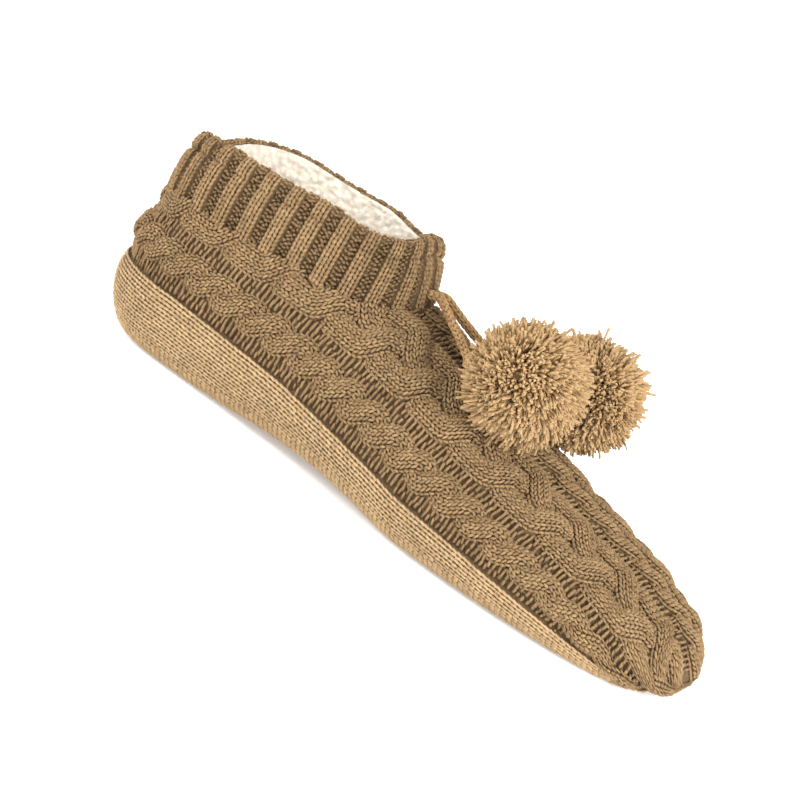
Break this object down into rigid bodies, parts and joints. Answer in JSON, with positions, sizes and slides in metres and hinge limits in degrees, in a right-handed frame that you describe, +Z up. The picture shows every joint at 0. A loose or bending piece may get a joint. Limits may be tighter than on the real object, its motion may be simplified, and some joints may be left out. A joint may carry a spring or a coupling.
{
  "type": "slipper sock",
  "caption": "Low cable knit slipper sock with a plain knitted sole cup, ribbed turned cuff, fleece footbed and a drawstring that ends in pompoms.",
  "frame": {"origin": "on the floor, under the middle of the sock's length and width", "axes": "+X from heel to toe, +Z up, -Y the side that the picture shows"},
  "size_m": [0.2512, 0.096, 0.0867],
  "materials": {
    "sole_knit": "plain knitted stockinette",
    "cable_knit": "cable knit yarn",
    "rib_knit": "ribbed knit yarn",
    "fleece": "curly pile fleece",
    "cord_knit": "knitted cord",
    "pompom_yarn": "cut yarn"
  },
  "bodies": {
    "root": {"sole": "sole_knit", "upper": "cable_knit", "cuff": "rib_knit", "insole": "fleece", "drawstring_near": "cord_knit", "drawstring_far": "cord_knit", "pompom_near": "pompom_yarn", "pompom_far": "pompom_yarn"}
  },
  "joints": []
}
